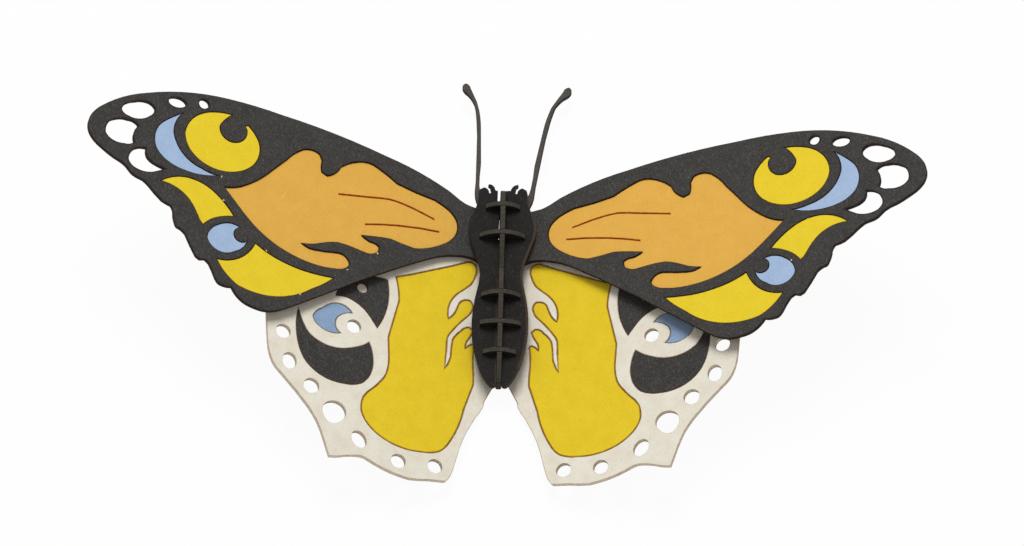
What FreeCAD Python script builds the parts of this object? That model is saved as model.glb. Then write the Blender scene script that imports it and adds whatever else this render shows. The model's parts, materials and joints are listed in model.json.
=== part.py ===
import FreeCAD, Part

import math
import os

import Sketcher

# A butterfly cut from card one millimetre thick. Two folded wing sheets lie on each other, a body
# plate lies on both, and a spine stands in slots through all three and locks them together. Five
# ribs are half-lapped over the spine. The coloured fields of the wings are separate pieces of card
# that fill windows of the same outline in the wing sheets.
#
# Millimetres. X runs to the butterfly's right, Y to its head and Z up. The wing outlines are drawn
# flat, with U from the fold to the wing's tip and V to the head, and their sheet is then folded up.

DIMENSIONS = (
    ("card_thickness", 1.0),
    # Forewings: one sheet, folded up along two creases beside the body.
    ("forewing_rise", 18.5),
    ("forewing_crease", 2.5),
    ("forewing_level", 1.0),
    ("forewing_turn", 2.5),
    ("forewing_back", -7.6),
    ("forewing_front", 3.0),
    ("forewing_front_bulge", 0.6),
    ("forewing_slot_left", -0.8),
    ("forewing_slot_right", 0.6),
    ("forewing_slot_back", -6.3),
    ("forewing_slot_front", 2.7),
    # Hindwings: one sheet under the forewings.
    ("hindwing_rise", 17.0),
    ("hindwing_crease", 3.2),
    ("hindwing_level", 0.0),
    ("hindwing_turn", 0.6),
    ("hindwing_shift", 0.3),
    ("hindwing_front", -2.5),
    ("hindwing_back", -34.05),
    ("hindwing_notch", -27.8),
    ("hindwing_mouth_back", -6.4),
    ("hindwing_slot_left", -1.06),
    ("hindwing_slot_right", 0.1),
    ("lock_slot_back", -17.4),
    ("lock_slot_front", -12.6),
    # Antennae: one V-shaped piece between the forewings and the body plate.
    ("antennae_level", 2.0),
    ("antennae_turn", 5.5),
    ("antennae_pivot", 5.5),
    ("antenna_root", 4.6),
    ("left_antenna_reach", 0.99),
    ("right_antenna_reach", 1.045),
    # The body: plate, spine and ribs, locked together and set a little askew on the wings.
    ("body_turn", 0.65),
    ("body_shift", -0.15),
    # Body plate, with slots for the spine's two tenons and for its keel.
    ("plate_level", 3.3),
    ("plate_slot_left", -0.68),
    ("plate_slot_right", 0.5),
    ("head_slit_left", -0.95),
    ("keel_slot_half_width", 0.5),
    ("neck_front", 4.7),
    ("neck_back", 2.4),
    ("waist_front", -6.0),
    ("waist_back", -11.0),
    # Spine and ribs.
    ("spine_width", 1.0),
    ("keel_level", 1.0),
    ("spine_front", 6.35),
    ("spine_back", -31.0),
    ("lap_reach", 3.0),
    ("lock_tab_front", -13.0),
    ("lock_tab_back", -17.0),
    ("tab_inner", 1.4),
    ("tab_outer", 2.6),
    # Round holes in the wings.
    ("forewing_bead", 2.2),
    ("hindwing_bead", 2.5),
    ("eye_hole", 2.4),
    ("edge_hole", 2.7),
    ("wedge_hole", 1.9),
    ("slit_width", 0.18),
    # The middle of the whole butterfly's box, which is its origin.
    ("origin_x", 0.0),
    ("origin_y", 0.0),
)

# Ribs over the spine: the rear face's place along Y, the half width, and the heights above the
# body plate at the middle and at the ends.
RIBS = (
    ("front_thorax_rib", 2.95, 3.0, 1.8, 0.5),
    ("rear_thorax_rib", -2.85, 4.0, 2.2, 0.5),
    ("front_abdomen_rib", -14.7, 3.45, 2.05, 0.5),
    ("middle_abdomen_rib", -20.4, 3.6, 1.7, 0.9),
    ("rear_abdomen_rib", -26.0, 2.9, 1.5, 0.5),
)

# The spine's two humps, as places along Y and heights above the body plate.
THORAX_HUMP = ((6.35, 1), (5, 1.5), (3, 1.85), (0.2, 2.1), (-2.6, 2.2), (-5, 1.7), (-7, 0.9), (-8.9, 0.2))
ABDOMEN_HUMP = ((-9.1, 0.9), (-10.2, 1.6), (-12, 1.95), (-14.6, 2.05), (-20, 1.7), (-25.6, 1.5),
                (-28.8, 0.85), (-31.2, 0))

# An edge of an outline that would rise less than this is straight.
NEARLY_FLAT = 0.12

# The least volume that a cut has to take away.
LEAST_CUT = 0.1

doc = FreeCAD.newDocument("paper_butterfly")
sheet = doc.addObject("Spreadsheet::Sheet", "Dimensions")


def fill_sheet():
    """Writes every driving dimension into the sheet, with its alias."""
    rows = list(DIMENSIONS)
    for name, rear, half_width, middle, end in RIBS:
        rows += [(name + "_rear", rear), (name + "_half_width", half_width)]
        rows += [(name + "_middle", middle), (name + "_end", end)]
    for number, (alias, size) in enumerate(rows, 1):
        sheet.set(f"A{number}", alias.replace("_", " "))
        sheet.set(f"B{number}", str(size))
        sheet.setAlias(f"B{number}", alias)
    doc.recompute()


# ---------------------------------------------------------------------------------------------
# Drawing. An outline is its first point and then the steps that lead round to it again.


def line(*points):
    """Straight edges to each point in turn."""
    return "line", points


def curve(*points):
    """One smooth line of edges through all the points."""
    return "curve", points


def arc(middle, end):
    """A round edge through the middle point to the end."""
    return "arc", (middle, end)


def vector(point, side=1):
    """A flat point as a vector; side -1 is its mirror image, for the left half."""
    return FreeCAD.Vector(side * point[0], point[1], 0)


def tangent(before, here, after, at):
    """The direction, at one of three points, of the circle that passes through them all."""
    first = here - before
    last = after - here
    across = first.x * last.y - first.y * last.x
    if abs(across) < 1e-9:
        return (after - before).normalize()
    lead = (last.x * (after - before).x + last.y * (after - before).y) / (2 * across)
    middle = (before + here) / 2 + FreeCAD.Vector(-first.y, first.x, 0) * lead
    spoke = at - middle
    way = FreeCAD.Vector(-spoke.y, spoke.x, 0).normalize()
    return way if across > 0 else way.negative()


def tangents(points, closed):
    """The direction of a smooth curve at each of its points."""
    count = len(points)
    ways = []
    for n in range(count):
        m = n if closed else min(max(n, 1), count - 2)
        ways.append(tangent(points[m - 1], points[m], points[(m + 1) % count], points[n]))
    return ways


def bow(start, way, end, last_way):
    """A round edge that turns as far as the two given ways do, or a straight one if it is nearly flat."""
    turn = math.atan2(way.x * last_way.y - way.y * last_way.x, way.dot(last_way))
    chord = end - start
    rise = math.tan(turn / 4) / 2
    if abs(rise) * chord.Length < NEARLY_FLAT:
        return Part.LineSegment(start, end)
    return Part.Arc(start, (start + end) / 2 + FreeCAD.Vector(chord.y, -chord.x, 0) * rise, end)


def smooth(points, closed=False):
    """A smooth curve through the points, with one edge from each of them to the next."""
    ways = tangents(points, closed)
    edges = []
    for n in range(len(points) if closed else len(points) - 1):
        after = (n + 1) % len(points)
        edges.append(bow(points[n], ways[n], points[after], ways[after]))
    return edges


def draw(sketch, outline, side=1):
    """Adds one closed outline to a sketch."""
    here = vector(outline[0], side)
    for kind, points in outline[1:]:
        points = [vector(point, side) for point in points]
        if kind == "line":
            edges = [Part.LineSegment(start, end) for start, end in zip([here] + points, points)]
        elif kind == "arc":
            edges = [Part.Arc(here, *points)]
        else:
            edges = smooth([here] + points)
        sketch.addGeometry(edges, False)
        here = points[-1]


def draw_loop(sketch, points, side=1):
    """Adds one closed smooth curve through the points."""
    sketch.addGeometry(smooth([vector(point, side) for point in points], closed=True), False)


def bind(sketch, kind, place, text):
    """Adds a sizing constraint whose value is an expression of the sheet."""
    number = sketch.addConstraint(Sketcher.Constraint(kind, *place))
    name = f"size_{number}"
    sketch.renameConstraint(number, name)
    sketch.setExpression("Constraints." + name, text)


def draw_round(sketch, centre, diameter, side=1):
    """Adds a circle whose diameter is a cell of the sheet."""
    circle = Part.Circle(vector(centre, side), FreeCAD.Vector(0, 0, 1), sheet.get(diameter) / 2)
    number = sketch.addGeometry(circle, False)
    bind(sketch, "Diameter", (number, sheet.get(diameter)), "Dimensions." + diameter)


def draw_oval(sketch, centre, half_length, half_width, tilt, side=1):
    """Adds an ellipse; tilt turns its long axis up from U, in degrees."""
    angle = math.radians(tilt)
    along = FreeCAD.Vector(side * math.cos(angle), math.sin(angle), 0)
    middle = vector(centre, side)
    tip = middle + along * half_length
    flank = middle + FreeCAD.Vector(-along.y, along.x, 0) * half_width
    sketch.addGeometry(Part.Ellipse(tip, flank, middle), False)


def draw_slit(sketch, points, side=1):
    """Adds a slender slit along a line of points."""
    half = sheet.get("slit_width") / 2
    upper = [(u, v + half) for u, v in points]
    lower = [(u, v - half) for u, v in reversed(points)]
    slit = (upper[0], curve(*upper[1:]), line(lower[0]), curve(*lower[1:]), line(upper[0]))
    draw(sketch, slit, side)


def draw_sized(sketch, corners):
    """Adds straight edges from corner to corner, each corner two expressions of the sheet."""
    first = sketch.GeometryCount
    turn = 2 * math.pi / len(corners)
    spots = [(math.cos(n * turn), math.sin(n * turn)) for n in range(len(corners))]
    for start, end in zip(spots, spots[1:]):
        sketch.addGeometry(Part.LineSegment(vector(start), vector(end)), False)
    ends = [(first, 1)] + [(first + n, 2) for n in range(len(corners) - 1)]
    for n in range(1, len(corners) - 1):
        sketch.addConstraint(Sketcher.Constraint("Coincident", first + n - 1, 2, first + n, 1))
    for (x, y), spot, (edge, end) in zip(corners, spots, ends):
        bind(sketch, "DistanceX", (-1, 1, edge, end, spot[0]), x)
        bind(sketch, "DistanceY", (-1, 1, edge, end, spot[1]), y)
    return ends[0], ends[-1]


def draw_box(sketch, left, right, back, front):
    """Adds a rectangle whose four sides are expressions of the sheet."""
    corners = [(left, back), (right, back), (right, front), (left, front)]
    start, end = draw_sized(sketch, corners)
    closing = Part.LineSegment(vector((-1, -1)), vector((1, 1)))
    number = sketch.addGeometry(closing, False)
    sketch.addConstraint(Sketcher.Constraint("Coincident", number, 1, *end))
    sketch.addConstraint(Sketcher.Constraint("Coincident", number, 2, *start))


# ---------------------------------------------------------------------------------------------
# Features.


def new_body(name):
    """A named body for one piece of card."""
    return doc.addObject("PartDesign::Body", name)


def new_sketch(body, name, plane="XY_Plane"):
    """A sketch on one of the body's own origin planes."""
    sketch = body.newObject("Sketcher::SketchObject", f"{body.Name}_{name}")
    plane = [feature for feature in body.Origin.OriginFeatures if feature.Role == plane][0]
    sketch.AttachmentSupport = [(plane, "")]
    sketch.MapMode = "FlatFace"
    return sketch


def pad(body, sketch, length="Dimensions.card_thickness", both_ways=False):
    """Gives a sketch the thickness of the card."""
    feature = body.newObject("PartDesign::Pad", sketch.Name + "_pad")
    feature.Profile = sketch
    feature.setExpression("Length", length)
    if both_ways:
        feature.SideType = "Symmetric"
    doc.recompute()


def cut(body, sketch, both_ways=False):
    """Cuts a sketch right through the card and makes sure that it took something away."""
    before = body.Shape.Volume
    feature = body.newObject("PartDesign::Pocket", sketch.Name + "_cut")
    feature.Profile = sketch
    feature.Type = "ThroughAll"
    if both_ways:
        feature.SideType = "Symmetric"
    else:
        feature.Reversed = True
    doc.recompute()
    if body.Shape.Volume > before - LEAST_CUT:
        raise RuntimeError(sketch.Name + " cuts nothing")


def on_origin(thing, x="0", y="0", z="0"):
    """Ties a piece's place to the sheet, measured from the butterfly's own origin."""
    thing.setExpression("Placement.Base.x", x + " - Dimensions.origin_x")
    thing.setExpression("Placement.Base.y", y + " - Dimensions.origin_y")
    thing.setExpression("Placement.Base.z", z)


def on_body(thing, y="0", z="0"):
    """Ties a piece of the body to the sheet, with the turn and the shift that the whole body has."""
    turn = "Dimensions.body_turn"
    turn_about_z(thing, turn)
    on_origin(thing, f"Dimensions.body_shift + ({y}) * sin({turn})", f"({y}) * cos({turn})", z)


def turn_about_z(thing, angle):
    """Turns a piece clockwise, seen from above, by a cell of the sheet."""
    thing.Placement.Rotation = FreeCAD.Rotation(FreeCAD.Vector(0, 0, -1), 1)
    thing.setExpression("Placement.Rotation.Angle", angle)


# ---------------------------------------------------------------------------------------------
# Forewings.

FOREWING = (
    (0, 3.0),
    curve((2.8, 3.85), (4.5, 4.15), (6, 4.8), (8, 6.05), (20, 10.25), (40, 13.9), (50, 14.75),
          (65, 12.4), (73.2, 7.9), (75, 5.7), (75.4, 3.9), (75.1, 2.5), (74, 0.95), (72.2, -0.4),
          (70.2, -1.6), (68.9, -2.15)),
    curve((67.9, -2.8), (66.9, -3.85), (65.9, -4.45), (64.6, -4.85)),
    curve((63.5, -5.65), (60.9, -8.05), (59.2, -8.7)),
    curve((58.75, -9.6), (57.95, -12.5), (57, -12.95)),
    curve((56.2, -13.6), (54, -17.5), (53.1, -18.05), (52.2, -17.85)),
    curve((51.5, -18.4), (50.2, -20.95), (49.4, -21.9), (48.4, -22.2), (47, -22.15)),
    curve((45.6, -23.85), (44.4, -24.65), (42.8, -25.15), (40.6, -25.4), (38.6, -24.95), (35.7, -23.4),
          (23.3, -15.3), (16, -10.9), (11, -8.1), (4.6, -6.1), (2.6, -6.25), (1.2, -6.95), (0, -7.6)),
    line((0, 3.0)),
)

ORANGE_PANEL = (
    (49.6, -2.75),
    curve((47, -5.65), (44, -8.75), (32, -14.15), (28.3, -14.1), (26.1, -13.4), (25.6, -12.6),
          (28, -10.85), (33.3, -11.15), (34.65, -10.5)),
    curve((32.4, -10.15), (30, -9.25), (28, -8.8), (22.8, -9.65), (20.6, -9.05), (20.4, -7.9),
          (21.9, -7.3), (23.7, -6.35)),
    curve((21.2, -6.05), (18.4, -5.85), (13.8, -6.7), (11.4, -6.1), (8.6, -4.65), (6.7, -2.9),
          (6.05, -0.9), (6.5, 0.85), (8.2, 2.55), (10.6, 3.75), (17.8, 5.4), (22.4, 8.05), (24.4, 8.2),
          (28.4, 6.2), (30.8, 3.9), (31.8, 4.4), (31.9, 6.4), (32.6, 7.9), (36.2, 7.6), (38.4, 5.4),
          (41, 2.6), (46.6, -1.95), (49.6, -2.75)),
)
UPPER_SLIT = ((10.5, 0), (13, 0.8), (16, 1.6), (19, 2), (22, 1.65), (28.4, 0.85))
LOWER_SLIT = ((9.5, -2.3), (13, -2.4), (17, -2.8), (23.1, -3.95))

YELLOW_MOON = (
    (48.9, 11.75),
    curve((52, 11.65), (54.9, 10.6), (57.5, 6.2), (55.1, 1.9), (52.6, 0.6), (47.2, 0.8), (44.9, 2.3),
          (43.6, 6.9), (44.6, 8.9), (46, 10.35)),
    line((46.6, 10.05), (46.1, 9.25)),
    arc((48.55, 6.4), (51.15, 8.8)),
    curve((50.5, 10.2), (48.9, 11.75)),
)
BLUE_CRESCENT = (
    (58, 10.05),
    curve((60.4, 8.5), (62.3, 6.7), (62.5, 1.9), (60.5, -0.05), (57.3, -1.2), (50.8, -0.85)),
    curve((54, -0.1), (59.5, 5.8), (59.2, 8.1), (58, 10.05)),
)
YELLOW_BAND = (
    (47.4, -8.2),
    curve((49.3, -5.95), (51.4, -4.15), (56.6, -2.45), (61.4, -4.3)),
    curve((56.6, -6.05), (54.8, -8.2), (53.7, -10.3), (53, -11.1)),
    curve((51.5, -9.65), (49.7, -8.75), (47.4, -8.2)),
)
BLUE_EYE = (
    (46.1, -10.15),
    curve((47.9, -9.65), (50.2, -10.4), (51.8, -11.95), (52.1, -13.6), (46.8, -15), (45.2, -13.7),
          (44.75, -12.4)),
    arc((47.15, -11.95), (46.1, -10.15)),
)
LOWER_YELLOW = (
    (28.3, -16),
    curve((32, -16), (40, -14.25), (43.2, -12.5)),
    curve((44.2, -14.4), (45.8, -16), (50.1, -17.2)),
    curve((46, -21.5), (32.3, -19.15), (28.3, -16)),
)
FOREWING_PIECES = (
    ("orange_panel", ORANGE_PANEL),
    ("yellow_moon", YELLOW_MOON),
    ("blue_crescent", BLUE_CRESCENT),
    ("yellow_band", YELLOW_BAND),
    ("blue_eye", BLUE_EYE),
    ("lower_yellow", LOWER_YELLOW),
)

# Open cut-outs along the tip.
LARGE_OPENING = ((63.2, 9.8), (64.8, 10.8), (67, 10.4), (69, 9.3), (69.6, 8.1), (68.2, 6.95), (65.8, 6.85),
                 (64.1, 7.8))
BEAN_OPENING = ((65.9, 5.5), (68, 6.5), (70.4, 6.1), (72.2, 2.8), (70.8, 1.55), (68.5, 1.3),
                (66.5, 2.1), (66.8, 3.8))
HOOK_OPENING = (
    (64.3, 1.6),
    curve((67.3, 0.1), (67.7, -1.4), (66.7, -2.75), (62.2, -2.8), (60.2, -1.75)),
    curve((62.5, -1.1), (64, -0.1), (64.3, 1.6)),
)


def forewing_panel(name, side):
    """One forewing, flat, with its windows and its open cut-outs."""
    body = new_body(name)
    outline = new_sketch(body, "outline")
    draw(outline, FOREWING, side)
    pad(body, outline)
    windows = new_sketch(body, "windows")
    for label, piece in FOREWING_PIECES:
        draw(windows, piece, side)
    cut(body, windows)
    openings = new_sketch(body, "openings")
    draw_round(openings, (54.4, 12.65), "forewing_bead", side)
    draw_oval(openings, (59.3, 11.8), 1.8, 1.15, 0, side)
    draw_loop(openings, LARGE_OPENING, side)
    draw_loop(openings, BEAN_OPENING, side)
    draw(openings, HOOK_OPENING, side)
    cut(body, openings)
    fold_up(body, "forewing", side)
    return body


def fold_up(body, wing, side):
    """Folds one wing up about its crease."""
    body.Placement.Rotation = FreeCAD.Rotation(FreeCAD.Vector(0, -side, 0), 1)
    body.setExpression("Placement.Rotation.Angle", f"Dimensions.{wing}_rise")
    body.setExpression("Placement.Base.x", f"{side} * Dimensions.{wing}_crease")
    body.setExpression("Placement.Base.z", f"Dimensions.{wing}_level")


def forewing_bridge():
    """The flat middle of the forewings, with the slot for the spine."""
    body = new_body("forewing_bridge")
    outline = new_sketch(body, "outline")
    half = sheet.get("forewing_crease")
    back = sheet.get("forewing_back")
    front = sheet.get("forewing_front")
    crown = (0, front + sheet.get("forewing_front_bulge"))
    draw(outline, ((-half, back), line((half, back), (half, front)), arc(crown, (-half, front)),
                   line((-half, back))))
    pad(body, outline)
    slot = new_sketch(body, "slot")
    draw_box(slot, "Dimensions.forewing_slot_left", "Dimensions.forewing_slot_right",
             "Dimensions.forewing_slot_back", "Dimensions.forewing_slot_front")
    cut(body, slot)
    body.setExpression("Placement.Base.z", "Dimensions.forewing_level")
    return body


# ---------------------------------------------------------------------------------------------
# Hindwings.

HINDWING = (
    (0, -2.5),
    curve((3, -3), (12, -5.8), (31, -14.2), (38, -19.2), (40.5, -22.6)),
    curve((40.2, -27), (39.65, -31), (38.8, -33), (36.9, -35.1), (32.4, -40.1), (30.6, -42.8),
          (29.4, -45.8), (28.2, -49.4)),
    curve((26.2, -49.1), (22.4, -48.35), (19.8, -49.35), (13.2, -51.15), (9.8, -50.75), (6.6, -50.5)),
    curve((5.8, -49.2), (5.1, -46.8), (4.3, -43.6), (3, -40), (1.6, -37.2), (0, -34.05)),
    line((0, -2.5)),
)

WING_PANEL = (
    (16.9, -11.7),
    line((4.1, -6.4)),
    curve((2.8, -6.15), (1.95, -6.8), (2, -8.8), (3, -10.95), (5.1, -12.85), (6.4, -14.6),
          (6.85, -18.1)),
    curve((5.9, -16.9), (5.2, -15.1), (2.9, -13.9), (2.35, -15.2), (3.4, -17.3), (6.75, -21.6),
          (7.05, -24.6), (7.35, -28.1)),
    curve((6.45, -25.8), (6.15, -22.3), (4.6, -20.2), (2.9, -19.2), (2.2, -19.8), (2.6, -20.9),
          (3.35, -22.2), (3.6, -23.4)),
    curve((3, -22.75), (2.3, -22.4), (1.95, -23.3)),
    line((1.95, -30.5)),
    curve((3.6, -35.7), (6.6, -43.5), (8.2, -45), (11.2, -45.6), (18, -44.4), (21, -42.2),
          (22.6, -39.4), (22.2, -36.4), (19.9, -33.8), (18.2, -31.2), (17.8, -27.8), (18, -24),
          (16.2, -16.4), (16.9, -11.7)),
)
BLACK_WEDGE = (
    (18.3, -12.6),
    curve((18.6, -19.6), (20, -22.6)),
    curve((21.4, -20.6), (25.6, -17.6), (27.8, -17.6)),
    curve((26.6, -14.9), (23.2, -12.9), (18.3, -12.6)),
)
WEDGE_HOLE = (22.9, -15.1)
HIND_BLUE_CRESCENT = (
    (24.6, -20.5),
    curve((26.3, -19.1), (28.2, -19.05), (30.2, -20.4), (31.9, -22.3), (30.7, -24.1), (28.6, -25),
          (26.6, -24.8)),
    curve((27.4, -21.9), (26.3, -20.95), (24.6, -20.5)),
)
BLACK_CRESCENT = (
    (21.4, -25.6),
    curve((20.6, -28.4), (20.8, -31.4), (22.4, -33.9), (26, -34.7), (33.2, -31.2), (34.7, -27),
          (34.6, -21.2)),
    curve((33.9, -23.2), (32.4, -25.9), (24.6, -27.3), (21.4, -25.6)),
)
HINDWING_PIECES = (
    ("yellow_wing_panel", WING_PANEL),
    ("black_wedge", BLACK_WEDGE),
    ("hind_blue_crescent", HIND_BLUE_CRESCENT),
    ("black_crescent", BLACK_CRESCENT),
)
TAIL_OPENING = ((25.4, -40.3), (26.2, -38.9), (28, -38.6), (29.4, -39.7), (29.3, -41.4), (27.9, -42.75),
                (26.2, -42))


def hindwing_panel(name, side):
    """One hindwing, flat, with its windows and the beads of round holes along its edge."""
    body = new_body(name)
    outline = new_sketch(body, "outline")
    draw(outline, HINDWING, side)
    pad(body, outline)
    windows = new_sketch(body, "windows")
    for label, piece in HINDWING_PIECES:
        draw(windows, piece, side)
    cut(body, windows)
    openings = new_sketch(body, "openings")
    for centre in ((8.75, -47.9), (15.5, -48.1), (37.25, -26.4)):
        draw_round(openings, centre, "hindwing_bead", side)
    draw_round(openings, (24.3, -23.05), "eye_hole", side)
    draw_oval(openings, (22.8, -45.15), 1.6, 1.2, 60, side)
    draw_round(openings, (31.8, -36.2), "edge_hole", side)
    draw_oval(openings, (35.95, -32), 1.5, 1.2, 90, side)
    draw_loop(openings, TAIL_OPENING, side)
    cut(body, openings)
    fold_up(body, "hindwing", side)
    return body


def hindwing_bridge():
    """The flat middle of the hindwings: a mouth for the spine, a lock slot and the tail's notch."""
    body = new_body("hindwing_bridge")
    outline = new_sketch(body, "outline")
    crease = "Dimensions.hindwing_crease"
    left = "Dimensions.hindwing_slot_left"
    right = "Dimensions.hindwing_slot_right"
    front = "Dimensions.hindwing_front"
    mouth_back = "Dimensions.hindwing_mouth_back"
    corners = [("0", "Dimensions.hindwing_notch"), (crease, "Dimensions.hindwing_back"), (crease, front),
               (right, front), (right, mouth_back), (left, mouth_back), (left, front),
               ("-" + crease, front), ("-" + crease, "Dimensions.hindwing_back")]
    start, end = draw_sized(outline, corners)
    closing = outline.addGeometry(Part.LineSegment(vector((-1, -1)), vector((0, 0))), False)
    outline.addConstraint(Sketcher.Constraint("Coincident", closing, 1, *end))
    outline.addConstraint(Sketcher.Constraint("Coincident", closing, 2, *start))
    pad(body, outline)
    slot = new_sketch(body, "lock_slot")
    draw_box(slot, left, right, "Dimensions.lock_slot_back", "Dimensions.lock_slot_front")
    cut(body, slot)
    body.setExpression("Placement.Base.z", "Dimensions.hindwing_level")
    return body


# ---------------------------------------------------------------------------------------------
# Wing sheets and the pieces in their windows.


def wing_sheet(name, wing, parts, shift="0"):
    """Joins two folded wings and their bridge into the one sheet that they are cut from."""
    fused = doc.addObject("Part::MultiFuse", name)
    fused.Shapes = parts
    turn_about_z(fused, f"Dimensions.{wing}_turn")
    on_origin(fused, shift)
    doc.recompute()
    return fused


def window_piece(name, outline, wings, panel, side):
    """One piece of card, in the plane of its wing and filling its window."""
    body = new_body(name)
    face = new_sketch(body, "outline")
    draw(face, outline, side)
    pad(body, face)
    if outline in (ORANGE_PANEL, BLACK_WEDGE):
        cuts = new_sketch(body, "cuts")
        if outline is ORANGE_PANEL:
            draw_slit(cuts, UPPER_SLIT, side)
            draw_slit(cuts, LOWER_SLIT, side)
        else:
            draw_round(cuts, WEDGE_HOLE, "wedge_hole", side)
        cut(body, cuts)
    body.setExpression("Placement", f"{wings.Name}.Placement * {panel.Name}.Placement")
    return body


# ---------------------------------------------------------------------------------------------
# Antennae, body plate, spine and ribs.

ANTENNA = (
    (0, 2.6),
    curve((2.2, 3.2), (4.5, 4.55)),
    curve((5.1, 6), (5.3, 9), (5.8, 15.3), (6.5, 21.7), (7.2, 24.5), (8.4, 26.2)),
    curve((9.35, 27), (9.7, 27.8), (9.1, 28.6), (8.1, 27.6), (6.7, 25), (5.56, 20.2), (4.75, 12.8),
          (4.35, 7.2)),
    curve((3.6, 6), (2.2, 4.9), (0, 4.3)),
)

PLATE_RIGHT = (
    (0.5, 6.9),
    line((1.3, 6.95)),
    curve((1.55, 7.55), (2.05, 8.05), (2.5, 8.15)),
    arc((2.65, 8.05), (2.5, 7.8)),
    curve((2.25, 7.25), (2.15, 6.55)),
    arc((2.32, 6.35), (2.5, 6.55)),
    curve((2.75, 7.15), (3.4, 7.5), (4.1, 7.1), (4.35, 6.1)),
    curve((4.3, 4.8), (5.7, 1.2), (5.95, -0.4), (5.7, -2.5), (4.15, -7.2), (3.75, -9.4), (4, -12),
          (4.6, -15), (5, -19.2), (4.8, -23), (4.05, -26.6), (3, -29.7), (1.55, -31.9)),
    arc((1.15, -32.1), (0.5, -31.75)),
)


def mirrored(outline):
    """The left half of a symmetrical outline, led back from its end to its beginning."""
    corners = [outline[0]] + [points[-1] for kind, points in outline[1:]]
    steps = []
    for (kind, points), start in zip(reversed(outline[1:]), reversed(corners[:-1])):
        back = [(-x, y) for x, y in reversed(points[:-1])] + [(-start[0], start[1])]
        steps.append((kind, tuple(back)))
    return steps


def antenna(hand):
    """One antenna's outline, at its own length: what is in front of the root is stretched."""
    root = sheet.get("antenna_root")
    reach = sheet.get(hand + "_antenna_reach")
    steps = []
    for kind, points in ANTENNA[1:]:
        steps.append((kind, tuple((x, min(y, root) + max(y - root, 0) * reach) for x, y in points)))
    return (ANTENNA[0],) + tuple(steps)


def antennae():
    """Both antennae and the bar that joins them, cut as one V."""
    body = new_body("antennae")
    outline = new_sketch(body, "outline")
    draw(outline, antenna("right") + tuple(mirrored(antenna("left"))))
    pad(body, outline)
    turn_about_z(body, "Dimensions.antennae_turn")
    reach = "Dimensions.antennae_pivot"
    angle = "Dimensions.antennae_turn"
    on_origin(body, f"-{reach} * sin({angle})", f"{reach} * (1 - cos({angle}))", "Dimensions.antennae_level")
    return body


def body_plate():
    """The flat plate that gives the head, thorax and abdomen their outline."""
    body = new_body("body_plate")
    outline = new_sketch(body, "outline")
    slit = sheet.get("head_slit_left")
    right = sheet.get("plate_slot_right")
    neck = sheet.get("neck_front")
    keel = sheet.get("keel_slot_half_width")
    waist = sheet.get("waist_back")
    left_half = mirrored(PLATE_RIGHT)
    left_half[-1] = line((slit, PLATE_RIGHT[0][1]))
    steps = PLATE_RIGHT[1:] + (line((keel, waist), (-keel, waist), (-keel, PLATE_RIGHT[-1][1][-1][1])),)
    steps += tuple(left_half) + (line((slit, neck), (right, neck), PLATE_RIGHT[0]),)
    draw(outline, (PLATE_RIGHT[0],) + steps)
    pad(body, outline)
    slots = new_sketch(body, "slots")
    draw_box(slots, "Dimensions.plate_slot_left", "Dimensions.plate_slot_right",
             "Dimensions.rear_thorax_rib_rear", "Dimensions.neck_back")
    draw_box(slots, "-Dimensions.keel_slot_half_width", "Dimensions.plate_slot_right",
             "Dimensions.waist_front", "Dimensions.rear_thorax_rib_rear")
    for name, *sizes in RIBS:
        rear = f"Dimensions.{name}_rear"
        for inner, outer in (("Dimensions.tab_inner", "Dimensions.tab_outer"),
                             ("-Dimensions.tab_outer", "-Dimensions.tab_inner")):
            draw_box(slots, inner, outer, rear, rear + " + Dimensions.card_thickness")
    cut(body, slots)
    on_body(body, z="Dimensions.plate_level")
    return body


def spine():
    """The upright keel: two tenons, a locking tab, the back's two humps and a half-lap for each rib."""
    body = new_body("spine")
    outline = new_sketch(body, "outline", "YZ_Plane")
    under = sheet.get("plate_level")
    back = under + sheet.get("card_thickness")
    neck_front = sheet.get("neck_front")
    neck_back = sheet.get("neck_back")
    waist_front = sheet.get("waist_front")
    waist_back = sheet.get("waist_back")
    keel = sheet.get("keel_level")
    front = sheet.get("spine_front")
    tail = sheet.get("spine_back")
    tab_front = sheet.get("lock_tab_front")
    tab_back = sheet.get("lock_tab_back")
    thorax = [(y, back + height) for y, height in THORAX_HUMP]
    abdomen = [(y, back + height) for y, height in ABDOMEN_HUMP]
    draw(outline, (
        (front, 0),
        line(thorax[0]),
        curve(*thorax[1:]),
        line(abdomen[0]),
        curve(*abdomen[1:]),
        line((tail, keel), (tab_back, keel), (tab_back, 0), (tab_front, 0), (tab_front, keel),
             (waist_back, keel), (waist_back, back), (waist_front, back), (waist_front, 0),
             (neck_back, 0), (neck_back, back), (neck_front, back), (neck_front, 0), (front, 0)),
    ))
    pad(body, outline, "Dimensions.spine_width", both_ways=True)
    laps = new_sketch(body, "laps", "YZ_Plane")
    top = "Dimensions.plate_level + Dimensions.card_thickness + Dimensions.lap_reach"
    for name, *sizes in RIBS:
        rear = f"Dimensions.{name}_rear"
        draw_box(laps, rear, rear + " + Dimensions.card_thickness", rib_middle(name), top)
    cut(body, laps, both_ways=True)
    on_body(body)
    return body


def rib_middle(name):
    """The height at which a rib's half-lap meets the spine's."""
    return f"Dimensions.plate_level + Dimensions.card_thickness + Dimensions.{name}_middle / 2"


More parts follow.
